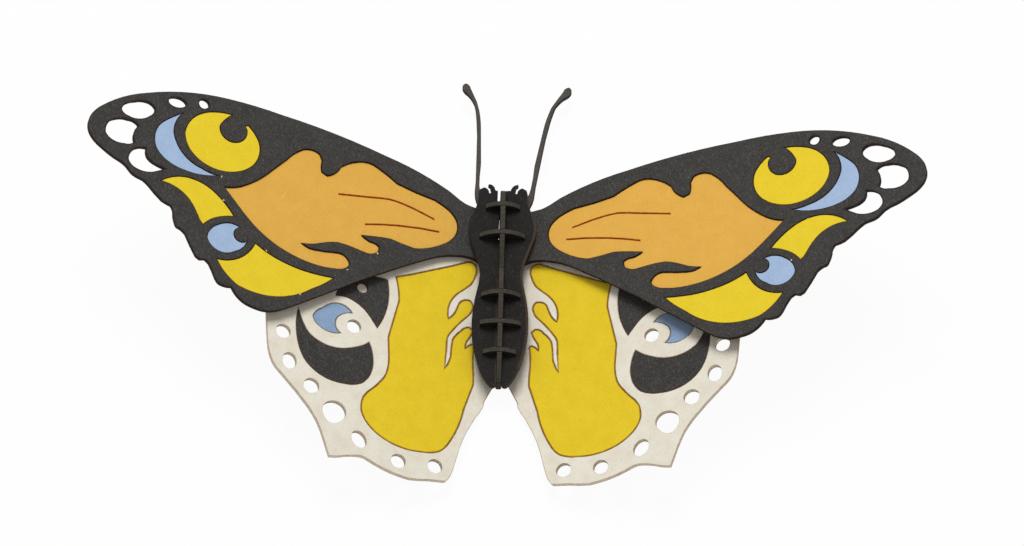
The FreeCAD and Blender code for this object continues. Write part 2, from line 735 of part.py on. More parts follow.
def rib(name):
    """One arched rib: tabs into the plate below, and a half-lap slot over the spine."""
    body = new_body(name)
    outline = new_sketch(body, "outline", "XZ_Plane")
    under = "Dimensions.plate_level"
    back = under + " + Dimensions.card_thickness"
    wide = f"Dimensions.{name}_half_width"
    shoulder = f"{back} + Dimensions.{name}_end"
    right = [("Dimensions.spine_width / 2", rib_middle(name)), ("Dimensions.spine_width / 2", back),
             ("Dimensions.tab_inner", back), ("Dimensions.tab_inner", under),
             ("Dimensions.tab_outer", under), ("Dimensions.tab_outer", back), (wide, back),
             (wide, shoulder)]
    left = [("-" + x, y) for x, y in reversed(right)]
    start, end = draw_sized(outline, left + right)
    doc.recompute()
    crown = sheet.get("plate_level") + sheet.get("card_thickness") + sheet.get(name + "_middle")
    middle = FreeCAD.Vector(0, crown, 0)
    arch = Part.Arc(outline.getPoint(*end), middle, outline.getPoint(*start))
    number = outline.addGeometry(arch, False)
    outline.addConstraint(Sketcher.Constraint("Coincident", number, 1, *end))
    outline.addConstraint(Sketcher.Constraint("Coincident", number, 2, *start))
    rise = f"(Dimensions.{name}_middle - Dimensions.{name}_end)"
    radius = outline.Geometry[number].Radius
    bind(outline, "Radius", (number, radius), f"({wide} ^ 2 + {rise} ^ 2) / (2 * {rise})")
    pad(body, outline)
    on_body(body, f"Dimensions.{name}_rear + Dimensions.card_thickness")
    return body


# ---------------------------------------------------------------------------------------------
# The whole butterfly.


def build():
    """Makes every piece and returns them all."""
    sides = (("left", -1), ("right", 1))
    fore_panels = [forewing_panel(f"{hand}_forewing_panel", side) for hand, side in sides]
    hind_panels = [hindwing_panel(f"{hand}_hindwing_panel", side) for hand, side in sides]
    forewings = wing_sheet("forewings", "forewing", fore_panels + [forewing_bridge()])
    hindwings = wing_sheet("hindwings", "hindwing", hind_panels + [hindwing_bridge()],
                           "Dimensions.hindwing_shift")
    pieces = [forewings, hindwings]
    for (hand, side), panel in zip(sides, fore_panels):
        for label, outline in FOREWING_PIECES:
            pieces.append(window_piece(f"{hand}_{label}", outline, forewings, panel, side))
    for (hand, side), panel in zip(sides, hind_panels):
        for label, outline in HINDWING_PIECES:
            pieces.append(window_piece(f"{hand}_{label}", outline, hindwings, panel, side))
    pieces += [antennae(), body_plate(), spine()]
    pieces += [rib(name) for name, *sizes in RIBS]
    doc.recompute()
    return pieces


def centre(pieces):
    """Moves the origin to the middle of the butterfly's box."""
    box = FreeCAD.BoundBox()
    for piece in pieces:
        box.add(piece.Shape.optimalBoundingBox(True, False))
    for name, middle in (("origin_x", box.Center.x), ("origin_y", box.Center.y)):
        sheet.set(sheet.getCellFromAlias(name), str(round(middle, 4)))
    doc.recompute()
    return box


def check(pieces):
    """Stops at any object that failed and any piece without one sound solid."""
    for thing in doc.Objects:
        if "Invalid" in thing.State or "Error" in thing.State:
            raise RuntimeError(f"{thing.Name} failed: {thing.State}")
    for piece in pieces:
        if piece.Shape.isNull() or not piece.Shape.isValid() or len(piece.Shape.Solids) != 1:
            raise RuntimeError(f"{piece.Label} is not one valid solid")


def export(pieces):
    """Writes each piece under its own name."""
    os.makedirs("parts", exist_ok=True)
    for piece in pieces:
        piece.Shape.exportStep(f"parts/{piece.Label}.step")


fill_sheet()
all_pieces = build()
whole = centre(all_pieces)
check(all_pieces)
export(all_pieces)
print(f"{len(all_pieces)} pieces, {whole.XLength:.1f} x {whole.YLength:.1f} x {whole.ZLength:.1f} mm")
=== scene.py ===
import json
import math
from typing import Callable, NamedTuple

import bmesh
import bpy
from mathutils import Matrix, Vector


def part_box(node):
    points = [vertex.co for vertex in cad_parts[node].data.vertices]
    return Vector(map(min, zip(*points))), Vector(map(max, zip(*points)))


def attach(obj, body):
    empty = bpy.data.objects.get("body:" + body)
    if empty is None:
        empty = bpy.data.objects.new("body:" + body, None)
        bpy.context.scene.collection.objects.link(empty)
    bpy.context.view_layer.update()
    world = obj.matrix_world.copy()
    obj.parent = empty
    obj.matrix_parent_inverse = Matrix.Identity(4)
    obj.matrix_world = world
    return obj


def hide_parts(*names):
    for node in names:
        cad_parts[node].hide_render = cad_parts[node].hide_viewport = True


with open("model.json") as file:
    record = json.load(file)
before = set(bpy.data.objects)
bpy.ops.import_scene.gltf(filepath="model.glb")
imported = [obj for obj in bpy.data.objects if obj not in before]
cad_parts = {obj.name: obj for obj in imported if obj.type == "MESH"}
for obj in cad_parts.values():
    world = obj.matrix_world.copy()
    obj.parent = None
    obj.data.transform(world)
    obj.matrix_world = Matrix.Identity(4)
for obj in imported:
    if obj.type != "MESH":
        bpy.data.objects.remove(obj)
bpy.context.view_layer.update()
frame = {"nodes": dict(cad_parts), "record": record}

# A butterfly of cut and folded card. Every CAD node is shown by a finer copy of itself, with smooth
# outlines, singed rims and a hairline gap round each inlaid piece. Metres, as in the frame.

MM = 0.001
nodes = frame["nodes"]
slot_of = {part["node"]: part["material_slot"] for part in frame["record"]["subparts"]}


# ---------------------------------------------------------------------------------------------
# Camera. It looks down on the butterfly from behind its tail, from so far that nothing shrinks.

AZIMUTH = math.radians(-2.02)
ELEVATION = math.radians(61.86)
ROLL = math.radians(2.96)
LENS = 700
SENSOR = 36

# The view is VIEW_WIDTH wide at FOCUS_DEPTH in front of the point that the camera looks at.
VIEW_WIDTH = 179.85 * MM
FOCUS_DEPTH = 12 * MM
AIM_RIGHT = 1.58 * MM
AIM_UP = 3.39 * MM
NEAREST_SEEN = 0.1
FARTHEST_SEEN = 20

across = Vector((math.cos(AZIMUTH), math.sin(AZIMUTH), 0))
level = Vector((-math.sin(AZIMUTH), math.cos(AZIMUTH), 0))
upward = level * math.sin(ELEVATION) + Vector((0, 0, math.cos(ELEVATION)))
right = across * math.cos(ROLL) + upward * math.sin(ROLL)
top = upward * math.cos(ROLL) - across * math.sin(ROLL)
toward = right.cross(top)
aim = right * AIM_RIGHT + top * AIM_UP
distance = LENS / SENSOR * VIEW_WIDTH

camera = bpy.data.objects.new("camera", bpy.data.cameras.new("camera"))
bpy.context.scene.collection.objects.link(camera)
bpy.context.scene.camera = camera
camera.data.lens = LENS
camera.data.sensor_width = SENSOR
camera.data.clip_start = NEAREST_SEEN
camera.data.clip_end = FARTHEST_SEEN
camera_turn = Matrix((right, top, toward)).transposed()
camera.matrix_world = Matrix.Translation(aim + toward * (distance + FOCUS_DEPTH)) @ camera_turn.to_4x4()


# ---------------------------------------------------------------------------------------------
# Materials. A card has its mottled colour, fibres, a singed rim with painted shade along one
# side of it, and walls where it was cut.

CLOUD_SIZE = 2.6 * MM
GRAIN_SIZE = 0.34 * MM
STRAND_SIZE = 0.2 * MM
STRAND_STRETCH = 3.2
STRAND_TURN = 0.5
CROSSING_SIZE = 0.18 * MM
CROSSING_STRETCH = 3.4
CROSSING_TURN = -0.3
WANDER_SIZE = 0.9 * MM
LAYER_SIZE = 0.5 * MM
COARSE = 2.0
FINE = 3.0

# From where to where in its noise each of these fades in.
CLOUD_SPAN = (0.35, 0.68)
STRAND_SPAN = (0.56, 0.72)
CROSSING_SPAN = (0.57, 0.73)
PIT_SPAN = (0.46, 0.3)
WANDER_SPAN = (0.3, 0.7)
LAYER_SPAN = (0.35, 0.7)
ROUGHNESS_SPAN = (0.3, 0.7)

RIM_STRENGTH = (0.55, 1.25)
LAYER_STRENGTH = (0.0, 0.5)
CARD_ROUGHNESS = (0.82, 0.97)
CARD_SHEEN = 0.15
RELIEF = 0.04 * MM
RELIEF_STRENGTH = 0.4
STRAND_RELIEF = 0.6
WHITE = (1, 1, 1, 1)

# The numbers of a mix node's colour sockets.
MIX_FIRST, MIX_SECOND, MIX_RESULT = 6, 7, 2


class Look:
    """A material whose nodes are added one after another."""

    def __init__(self, name):
        self.material = bpy.data.materials.new(name)
        self.material.use_nodes = True
        self.tree = self.material.node_tree
        self.shader = self.tree.nodes["Principled BSDF"]
        self.place = self.add("ShaderNodeTexCoord").outputs["Object"]

    def add(self, kind, **settings):
        """A new node with these settings."""
        node = self.tree.nodes.new(kind)
        for name, value in settings.items():
            setattr(node, name, value)
        return node

    def link(self, source, target):
        """Joins an output to an input."""
        self.tree.links.new(source, target)

    def feed(self, socket, value):
        """Sets a socket, or links it if the value is another node's output."""
        if isinstance(value, bpy.types.NodeSocket):
            self.link(value, socket)
        else:
            socket.default_value = value

    def math(self, operation, first, second, clamp=False):
        """A sum, product or the like of two values."""
        node = self.add("ShaderNodeMath", operation=operation, use_clamp=clamp)
        self.feed(node.inputs[0], first)
        self.feed(node.inputs[1], second)
        return node.outputs[0]

    def noise(self, size, detail=COARSE, stretch=(1, 1, 1), turn=0.0):
        """Noise whose grains are about size metres across, longer where stretch is above 1."""
        mapping = self.add("ShaderNodeMapping")
        self.link(self.place, mapping.inputs["Vector"])
        mapping.inputs["Rotation"].default_value = (0, 0, turn)
        mapping.inputs["Scale"].default_value = [1 / (size * factor) for factor in stretch]
        noise = self.add("ShaderNodeTexNoise")
        noise.inputs["Scale"].default_value = 1.0
        noise.inputs["Detail"].default_value = detail
        self.link(mapping.outputs["Vector"], noise.inputs["Vector"])
        return noise.outputs["Fac"]

    def fade(self, value, span, strength=(0.0, 1.0)):
        """Goes from one strength to another over a span of the value, and stays there beyond it."""
        node = self.add("ShaderNodeMapRange")
        self.feed(node.inputs["Value"], value)
        for name, number in zip(("From Min", "From Max", "To Min", "To Max"), (*span, *strength)):
            node.inputs[name].default_value = number
        return node.outputs["Result"]

    def mix(self, factor, first, second):
        """A colour between two, the second where the factor is 1."""
        node = self.add("ShaderNodeMix", data_type="RGBA")
        self.feed(node.inputs["Factor"], factor)
        self.feed(node.inputs[MIX_FIRST], first)
        self.feed(node.inputs[MIX_SECOND], second)
        return node.outputs[MIX_RESULT]

    def attribute(self, name):
        """A number that the piece's mesh carries."""
        return self.add("ShaderNodeAttribute", attribute_name=name).outputs["Fac"]


def linear(colour):
    """A colour given as it looks on screen, 0 to 255, for a shader's socket. The other numbers are
    those of the curve that screens use."""
    return tuple(((part / 255 + 0.055) / 1.055) ** 2.4 if part > 10 else part / 255 / 12.92
                 for part in colour) + (1.0,)


def card(name, face, shade, fleck, pit, wall, singe, burn_and_shade, flecks=0.5, pits=0.5, spread=1.2):
    """Matte card. face and shade are its mottled colour, fleck and pit its pale fibres and dark
    grains, wall its cut edge and singe its rim. The last colour fills the rim round openings, where
    it is real singe, and on the side of each outline that its cut picks, where it is painted shade.
    flecks and pits say how much of those shows, and spread how far in the rim stays at its full colour."""
    look = Look(name)
    cloud = look.fade(look.noise(CLOUD_SIZE, FINE), CLOUD_SPAN)
    colour = look.mix(cloud, linear(face), linear(shade))

    grain = look.noise(GRAIN_SIZE, FINE)
    lengthwise = look.noise(STRAND_SIZE, stretch=(1, STRAND_STRETCH, 1), turn=STRAND_TURN)
    crossing = look.noise(CROSSING_SIZE, stretch=(CROSSING_STRETCH, 1, 1), turn=CROSSING_TURN)
    strands = look.math("MAXIMUM", look.fade(lengthwise, STRAND_SPAN), look.fade(crossing, CROSSING_SPAN))
    colour = look.mix(look.math("MULTIPLY", strands, flecks), colour, linear(fleck))
    colour = look.mix(look.fade(grain, PIT_SPAN, (0.0, pits)), colour, linear(pit))

    wander = look.fade(look.noise(WANDER_SIZE), WANDER_SPAN, RIM_STRENGTH)
    rim = look.math("MULTIPLY", look.attribute("rim"), spread)
    rim = look.math("MULTIPLY", rim, wander, clamp=True)
    # Painted shade: the rim takes its last colour on the side the cut picks, real singe round openings.
    rim_colour = look.mix(look.attribute("burn_and_shade_mask"), linear(singe), linear(burn_and_shade))
    colour = look.mix(rim, colour, rim_colour)

    layers = look.fade(look.noise(LAYER_SIZE, FINE), LAYER_SPAN, LAYER_STRENGTH)
    wall_colour = look.mix(layers, linear(wall), linear(singe))
    colour = look.mix(look.attribute("wall"), colour, wall_colour)
    look.link(colour, look.shader.inputs["Base Color"])

    roughness = look.fade(grain, ROUGHNESS_SPAN, CARD_ROUGHNESS)
    look.link(roughness, look.shader.inputs["Roughness"])
    look.shader.inputs["Specular IOR Level"].default_value = CARD_SHEEN
    bump = look.add("ShaderNodeBump")
    bump.inputs["Strength"].default_value = RELIEF_STRENGTH
    bump.inputs["Distance"].default_value = RELIEF
    raised = look.math("ADD", grain, look.math("MULTIPLY", strands, STRAND_RELIEF))
    look.link(raised, bump.inputs["Height"])
    look.link(bump.outputs["Normal"], look.shader.inputs["Normal"])
    return look.material


CARD_COLOURS = {
    "wing_black": dict(face=(66, 64, 62), shade=(60, 58, 56), fleck=(112, 107, 101), pit=(42, 39, 37),
                       wall=(50, 35, 28), singe=(46, 30, 24), burn_and_shade=(34, 22, 18), pits=0.7),
    "antenna_black": dict(face=(84, 80, 76), shade=(77, 73, 69), fleck=(118, 111, 104), pit=(54, 50, 46),
                          wall=(56, 44, 36), singe=(64, 52, 44), burn_and_shade=(50, 38, 30), pits=0.6),
    # The body plate's card, darker than the wings' black card as painted shade from the ribs and spine on
    # it. Its last colour, a lighter brown, paints the plate's cut wall along its right flank.
    "shaded_body_black": dict(face=(38, 37, 36), shade=(33, 32, 31), fleck=(72, 68, 64), pit=(24, 22, 21),
                       wall=(76, 60, 48), singe=(38, 34, 31), burn_and_shade=(72, 60, 50),
                       flecks=0.4, pits=0.7, spread=1.9),
    # The spine's and ribs' card: its faces, their upright sides, are darkened as painted shade; its wall,
    # their top edges, stays near the black card's own colour.
    "shaded_edge_black": dict(face=(32, 29, 27), shade=(26, 24, 23), fleck=(56, 52, 48), pit=(18, 16, 15),
                       wall=(74, 69, 61), singe=(30, 27, 24), burn_and_shade=(24, 21, 19), flecks=0.4, pits=0.6),
    "inlay_black": dict(face=(64, 63, 61), shade=(57, 56, 54), fleck=(106, 102, 97), pit=(40, 38, 36),
                        wall=(66, 44, 32), singe=(96, 68, 50), burn_and_shade=(62, 44, 34),
                        flecks=0.6, pits=0.8, spread=1.7),
    "cream_card": dict(face=(241, 236, 220), shade=(234, 225, 206), fleck=(247, 244, 236),
                       pit=(214, 203, 182), wall=(244, 231, 208), singe=(172, 142, 110),
                       burn_and_shade=(150, 112, 80), flecks=0.4, pits=0.3),
    "yellow_card": dict(face=(242, 213, 46), shade=(238, 208, 42), fleck=(246, 226, 110),
                        pit=(220, 186, 36), wall=(110, 74, 26), singe=(196, 158, 44),
                        burn_and_shade=(96, 52, 20), flecks=0.3, pits=0.35),
    "golden_card": dict(face=(240, 209, 42), shade=(234, 202, 38), fleck=(244, 220, 98),
                        pit=(216, 182, 32), wall=(124, 80, 28), singe=(158, 112, 32),
                        burn_and_shade=(138, 86, 26), flecks=0.3, pits=0.35, spread=2.0),
    "orange_card": dict(face=(235, 181, 80), shade=(230, 176, 76), fleck=(242, 200, 118),
                        pit=(214, 158, 62), wall=(212, 98, 24), singe=(234, 172, 106),
                        burn_and_shade=(144, 58, 10), flecks=0.35, pits=0.35),
    # The blue card darker, with a wide dark rim, as painted shade of the forewings over the hindwings.
    "shaded_hind_blue": dict(face=(147, 173, 205), shade=(137, 162, 195), fleck=(176, 196, 221),
                      pit=(128, 152, 188), wall=(46, 46, 52), singe=(50, 54, 66),
                      burn_and_shade=(34, 34, 42), flecks=0.4, pits=0.4, spread=2.6),
    "blue_card": dict(face=(170, 194, 226), shade=(163, 187, 219), fleck=(194, 212, 234),
                      pit=(142, 168, 204), wall=(64, 56, 56), singe=(84, 90, 104),
                      burn_and_shade=(52, 50, 56), flecks=0.4, pits=0.35, spread=1.7),
}
SPECK_COLOURS = {
    "nib_pale": dict(face=(236, 208, 184), shade=(214, 178, 140), fleck=(246, 232, 214),
                     pit=(190, 140, 100)),
    "orange_scratch": dict(face=(244, 204, 126), shade=(240, 196, 112), fleck=(248, 218, 156),
                           pit=(228, 180, 96)),
    "black_fibre": dict(face=(96, 92, 87), shade=(84, 80, 76), fleck=(116, 110, 104), pit=(70, 66, 62)),
    "cream_fibre": dict(face=(226, 216, 196), shade=(220, 208, 186), fleck=(240, 235, 222),
                        pit=(204, 190, 166)),
}
cards = {name: card(name, **colours) for name, colours in CARD_COLOURS.items()}
for name, colours in SPECK_COLOURS.items():
    shade = colours["shade"]
    cards[name] = card(name, **colours, wall=colours["face"], singe=shade, burn_and_shade=shade)


# ---------------------------------------------------------------------------------------------
# Outlines. The CAD meshes have curves as straight chords, which are bent out again here.

# A vector's numbers across the body, along it and upwards.
ACROSS, ALONG, UP = 0, 1, 2

# A flat's normal is at least this much along its card's axis. Two normals that agree at least this
# much are of one plane.
FACING = 0.9
SAME_PLANE = 0.999
PLANE_DIGITS = 1
MERGE = 0.001 * MM

plate_low, plate_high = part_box("body_plate")
CARD_THICKNESS = plate_high.z - plate_low.z

# A turn sharper than these stays a corner. Where both edges are short it is a narrow round tip.
SHARP_TURN = math.radians(40)
SHARP_TURN_OF_A_TIP = math.radians(66)
TIP_EDGE = 0.7 * MM
TURN_PER_STEP = math.radians(5)
MOST_STEPS = 6
MOST_BULGE = 0.14 * MM

# A window is an opening whose middle lies this close to an inlay's, and the body's slots are the
# openings this close to the middle line. Slots take only a share of what widens an opening.
WINDOW_MATCH = 0.4 * MM
SLOT_SIDE = 2 * MM
SLOT_SHARE = 0.25


class Edge:
    """One edge of a card's outline, the normal of its flat, and how its curve leaves and arrives."""

    def __init__(self, start, end, normal):
        self.start = start
        self.end = end
        self.normal = normal
        self.length = (end.co - start.co).length
        self.way = (end.co - start.co).normalized()
        self.leave = self.arrive = None


class Outline(NamedTuple):
    """A ring of a card's corners, in their order. share says how much of a widening it takes."""
    first_edge: Edge
    corners: list
    share: float


def merged(node):
    """A copy of a CAD node's mesh with its corners joined."""
    form = bmesh.new()
    form.from_mesh(nodes[node].data)
    bmesh.ops.remove_doubles(form, verts=form.verts, dist=MERGE)
    form.normal_update()
    return form


def flats_of(form, axis, sign):
    """A card's faces that look one way along an axis."""
    return [face for face in form.faces if face.normal[axis] * sign > FACING]


def edge_loops(flats):
    """The closed rings round a card's flats, each as a list of edges in their order."""
    inside = set(flats)
    after = {}
    for face in flats:
        for loop in face.loops:
            if not all(other in inside for other in loop.edge.link_faces):
                after[loop.vert] = Edge(loop.vert, loop.link_loop_next.vert, face.normal.copy())
    rings = []
    while after:
        edge = after.pop(next(iter(after)))
        ring = [edge]
        while edge.end in after:
            edge = after.pop(edge.end)
            ring.append(edge)
        rings.append(ring)
    return rings


def length_of(ring):
    """How long a ring is, all the way round."""
    return sum(edge.length for edge in ring)


def middle_of(ring):
    """The middle of a ring's line."""
    weighted = sum(((edge.start.co + edge.end.co) * edge.length for edge in ring), Vector())
    return weighted / (2 * length_of(ring))


inlays = {name: merged(name) for name in sorted(nodes) if name.startswith(("left_", "right_"))}
inlay_rings = [max(edge_loops(flats_of(inlay, UP, sign)), key=length_of)
               for inlay in inlays.values() for sign in (1, -1)]


def window_ring(ring):
    """The outline of the piece inlaid in a window, the other way round. An opening has none."""
    for inlay_ring in inlay_rings:
        if (middle_of(inlay_ring) - middle_of(ring)).length < WINDOW_MATCH:
            return [Edge(edge.end, edge.start, edge.normal) for edge in reversed(inlay_ring)]
    return None


def find_tangents(ring):
    """Gives each edge the ways in which its curve leaves and arrives, in line across gentle turns."""
    for before, edge in zip([ring[-1]] + ring[:-1], ring):
        turn = before.way.angle(edge.way, 0.0)
        is_tip = max(before.length, edge.length) < TIP_EDGE
        sharp = SHARP_TURN_OF_A_TIP if is_tip else SHARP_TURN
        if turn < sharp and before.normal.dot(edge.normal) > SAME_PLANE:
            shared = (before.way * edge.length + edge.way * before.length).normalized()
            before.arrive = edge.leave = shared
    for edge in ring:
        if edge.leave is None and edge.arrive is None:
            edge.leave = edge.arrive = edge.way
        elif edge.leave is None:
            edge.leave = 2 * edge.arrive.dot(edge.way) * edge.way - edge.arrive
        elif edge.arrive is None:
            edge.arrive = 2 * edge.leave.dot(edge.way) * edge.way - edge.leave


def bulges(edge):
    """How far the curve stands off the straight edge, at each step t of the way along it."""
    bend = edge.leave.angle(edge.arrive, 0.0)
    steps = max(1, min(MOST_STEPS, math.ceil(bend / TURN_PER_STEP)))
    result = []
    for step in range(1, steps):
        t = step / steps
        leaving = (t ** 3 - 2 * t ** 2 + t) * (edge.leave - edge.way)
        arriving = (t ** 3 - t ** 2) * (edge.arrive - edge.way)
        offset = (leaving + arriving) * edge.length
        if offset.length > MOST_BULGE:
            offset *= MOST_BULGE / offset.length
        result.append((t, offset))
    return result


def nearest(corners, place):
    """The corner nearest to a place."""
    return min(corners, key=lambda corner: (corner.co - place).length)


def join(form, upper, lower):
    """Closes the wall between two rings of corners that run side by side."""
    steps, low_steps = len(upper), len(lower)
    i = j = 0
    while i < steps or j < low_steps:
        here, ahead = upper[i % steps], upper[(i + 1) % steps]
        low_here, low_ahead = lower[j % low_steps], lower[(j + 1) % low_steps]
        is_shorter = (ahead.co - low_here.co).length <= (low_ahead.co - here.co).length
        if j >= low_steps or (i < steps and is_shorter):
            yield form.faces.new((ahead, here, low_here))
            i += 1
        else:
            yield form.faces.new((here, low_here, low_ahead))
            j += 1


class Marks:
    """What a card's mesh carries. pull marks the corners of its outer edge, widen those of its
    openings, rim its singed rim and wall its cut sides. The mark after rim says how far the rim
    takes its last colour: real singe round openings, painted shade on the side that the cut picks."""

    def __init__(self, form):
        self.pull = form.verts.layers.float.new("pull")
        self.widen = form.verts.layers.float.new("widen")
        self.rim = form.verts.layers.float.new("rim")
        self.burn_and_shade_mask = form.verts.layers.float.new("burn_and_shade_mask")
        self.wall = form.faces.layers.float.new("wall")


class SmoothCard:
    """A card built again with curved outlines."""

    def __init__(self, source, axis):
        self.source = source
        self.axis = axis
        self.form = bmesh.new()
        self.marks = Marks(self.form)
        self.copies = {}
        self.plane_edges = {}
        upper_side = self.trace_side(1)
        lower_side = self.trace_side(-1)
        self.raise_walls(upper_side, lower_side)
        self.add_creases()
        self.fill_flats()

    def copy_of(self, corner):
        """The new corner in the place of a source corner."""
        if corner not in self.copies:
            self.copies[corner] = self.form.verts.new(corner.co)
        return self.copies[corner]

    def add_edge(self, first, second, normal):
        """An edge of the flat with this normal, which all the edges of one plane share to
        PLANE_DIGITS decimals."""
        edge = self.form.edges.get((first, second)) or self.form.edges.new((first, second))
        plane = tuple(round(part, PLANE_DIGITS) for part in normal)
        self.plane_edges.setdefault(plane, []).append(edge)

    def trace(self, ring):
        """Lays down a ring's curve as short edges, and returns its corners."""
        find_tangents(ring)
        corners = []
        for edge in ring:
            stretch = [self.copy_of(edge.start)]
            for t, offset in bulges(edge):
                place = edge.start.co.lerp(edge.end.co, t) + offset
                stretch.append(self.form.verts.new(place))
            corners += stretch
            stretch.append(self.copy_of(edge.end))
            for first, second in zip(stretch, stretch[1:]):
                self.add_edge(first, second, edge.normal)
        return corners

    def trace_side(self, sign):
        """The outlines of one side: its outer edge first, then its windows and openings."""
        rings = edge_loops(flats_of(self.source, self.axis, sign))
        outer, *inner = sorted(rings, key=length_of, reverse=True)
        side = [Outline(outer[0], self.trace(outer), 0.0)]
        for opening in inner:
            window = window_ring(opening)
            ring = window or opening
            share = SLOT_SHARE if abs(middle_of(ring).x) < SLOT_SIDE else 1.0
            side.append(Outline(ring[0], self.trace(ring), 0.0 if window else share))
        return side

    def raise_walls(self, upper_side, lower_side):
        """Joins each upper outline to the lower one straight under it."""
        for outline in upper_side:
            edge = outline.first_edge
            under = edge.start.co - edge.normal * CARD_THICKNESS
            lower = min((other.corners for other in lower_side),
                        key=lambda corners: (nearest(corners, under).co - under).length)
            start = lower.index(nearest(lower, under))
            lower = lower[start::-1] + lower[:start:-1]
            for face in join(self.form, outline.corners, lower):
                face[self.marks.wall] = 1.0
            for corner in outline.corners + lower:
                corner[self.marks.pull] = 1.0 if outline is upper_side[0] else 0.0
                corner[self.marks.widen] = outline.share

    def add_creases(self):
        """The folds, where two flats of a sheet meet at an angle."""
        for edge in self.source.edges:
            one, two = edge.link_faces
            are_flats = abs(one.normal[self.axis]) > FACING and abs(two.normal[self.axis]) > FACING
            if are_flats and one.normal.dot(two.normal) < SAME_PLANE:
                first, second = (self.copy_of(corner) for corner in edge.verts)
                self.add_edge(first, second, one.normal)
                self.add_edge(first, second, two.normal)

    def fill_flats(self):
        """Fills each plane's outlines, leaving the windows and openings free."""
        for normal, edges in self.plane_edges.items():
            bmesh.ops.triangle_fill(self.form, use_beauty=True, edges=list(dict.fromkeys(edges)),
                                    normal=normal)
        bmesh.ops.recalc_face_normals(self.form, faces=self.form.faces)
        self.form.normal_update()


# ---------------------------------------------------------------------------------------------
# Cutting. Each card gets narrow rounded rims, and its edges are moved as the cutter left them.

SOUTH = Vector((0, -1, 0))
WEST = Vector((-1, 0, 0))
RIM = 0.15 * MM
ROUNDING = 0.04 * MM

# What belongs to an upper face, with its rim, has a normal at least this much along its card's axis.
FACING_UP = 0.5

# A rim is made this narrow and then widened corner by corner. In a sharp corner it would reach far
# in, so its mitre stops at these, and where its edges run back on each other it has no way in.
FIRST_INSET = 0.0015 * MM
LONGEST_MITRE = 0.45 * MM
SHARPEST_MITRE = 0.2
NO_WAY = 1e-3

# The stretch of the body's flank whose rim is wider.
FLANK_MIDDLE = -2.5 * MM
FLANK_REACH = 15 * MM


class Cut(NamedTuple):
    """How a card's edges differ from the plain solid's."""
    gap: float = 0.0            # how far the upper outer edge is drawn in
    opening: float = 0.0        # how much each side of an opening is drawn back
    taper: float = 0.0          # how far the cut leans in at the bottom
    sunk: float = 0.0           # how much lower the upper face lies
    rim_width: float = RIM
    flank_rim: float = 0.0      # the rim's width along the body's flank, on the side picked by the way below
    rounding: float = ROUNDING  # how far the rim's edge drops
    burn_and_shade_way: Vector = SOUTH   # rims whose inside lies this way take the last rim colour, as painted shade
    swell: Callable = None      # how far a corner of the outer edge stands out, by its place


def inward(spot, edges, normal):
    """The way from a corner of a flat to its inside, as long as makes the rim one unit wide."""
    ways = []
    for edge, face in edges:
        along = (edge.other_vert(spot).co - spot.co).normalized()
        side = normal.cross(along)
        if side.dot(face.calc_center_median() - spot.co) < 0:
            side.negate()
        ways.append(side)
    way = sum(ways, Vector())
    if way.length < NO_WAY:
        return ways[0]
    return way.normalized() / max(way.length / len(ways), SHARPEST_MITRE)


def corners_of(faces):
    """The corners of some faces, each once."""
    return list(dict.fromkeys(corner for face in faces for corner in face.verts))


def rim_corners(strip, marks):
    """The corners on the outer side of a rim, each with its way inward and its normal."""
    found = []
    for spot in corners_of(strip):
        edges = [edge for edge in spot.link_edges
                 if len({face[marks.wall] for face in edge.link_faces}) > 1]
        if edges:
            flats = [face for face in spot.link_faces if not face[marks.wall]]
            normal = sum((face.normal for face in flats), Vector()).normalized()
            sides = [(edge, face) for edge in edges for face in edge.link_faces
                     if not face[marks.wall]]
            found.append((spot, inward(spot, sides, normal), normal))
    return found


def rim_width_at(spot, way, marks, cut):
    """How wide the rim is at a corner of the outline."""
    width = min(cut.rim_width, LONGEST_MITRE / way.length)
    if cut.flank_rim and spot[marks.pull] and abs(spot.co.y - FLANK_MIDDLE) < FLANK_REACH:
        width = max(width, cut.flank_rim * spot[marks.burn_and_shade_mask])
    return width


def add_rim(form, flats, marks, cut):
    """Lays a narrow strip all round some flats, and returns the corners on its outer side, each
    with its way inward and its normal."""
    strip = bmesh.ops.inset_region(form, faces=flats, thickness=FIRST_INSET,
                                   use_boundary=True)["faces"]
    form.normal_update()
    strip_faces = set(strip)
    outer_corners = rim_corners(strip, marks)
    outer_spots = {spot for spot, way, normal in outer_corners}
    for spot, way, normal in outer_corners:
        spot[marks.rim] = 1.0
        # Painted shade on the side of the outline that the cut picks; real singe round openings.
        spot[marks.burn_and_shade_mask] = max(0.0, way.normalized().dot(cut.burn_and_shade_way), spot[marks.widen])
        for edge in spot.link_edges:
            inner = edge.other_vert(spot)
            if inner not in outer_spots and strip_faces.issuperset(edge.link_faces):
                inner.co = spot.co + way * rim_width_at(spot, way, marks, cut)
                inner[marks.pull] = inner[marks.widen] = 0.0
                inner[marks.burn_and_shade_mask] = spot[marks.burn_and_shade_mask]
    return outer_corners


def drawn_in(spot, is_upper, marks, cut):
    """How far a corner of the outline moves inward."""
    gap = cut.gap if is_upper else 0.0
    taper = 0.0 if is_upper else cut.taper
    shift = (cut.opening + taper) * spot[marks.widen] + (gap + taper) * spot[marks.pull]
    if cut.swell:
        shift -= cut.swell(spot.co) * spot[marks.pull]
    return shift


def sink(form, flats, axis, depth):
    """Lowers the upper face of a card, with its rim."""
    normal = sum((face.normal for face in flats), Vector()).normalized()
    for spot in corners_of(face for face in form.faces if face.normal[axis] > FACING_UP):
        spot.co -= normal * depth


def finished(name, form):
    """The object made from a form."""
    mesh = bpy.data.meshes.new(name)
    form.to_mesh(mesh)
    form.free()
    piece = bpy.data.objects.new(name, mesh)
    bpy.context.scene.collection.objects.link(piece)
    return piece


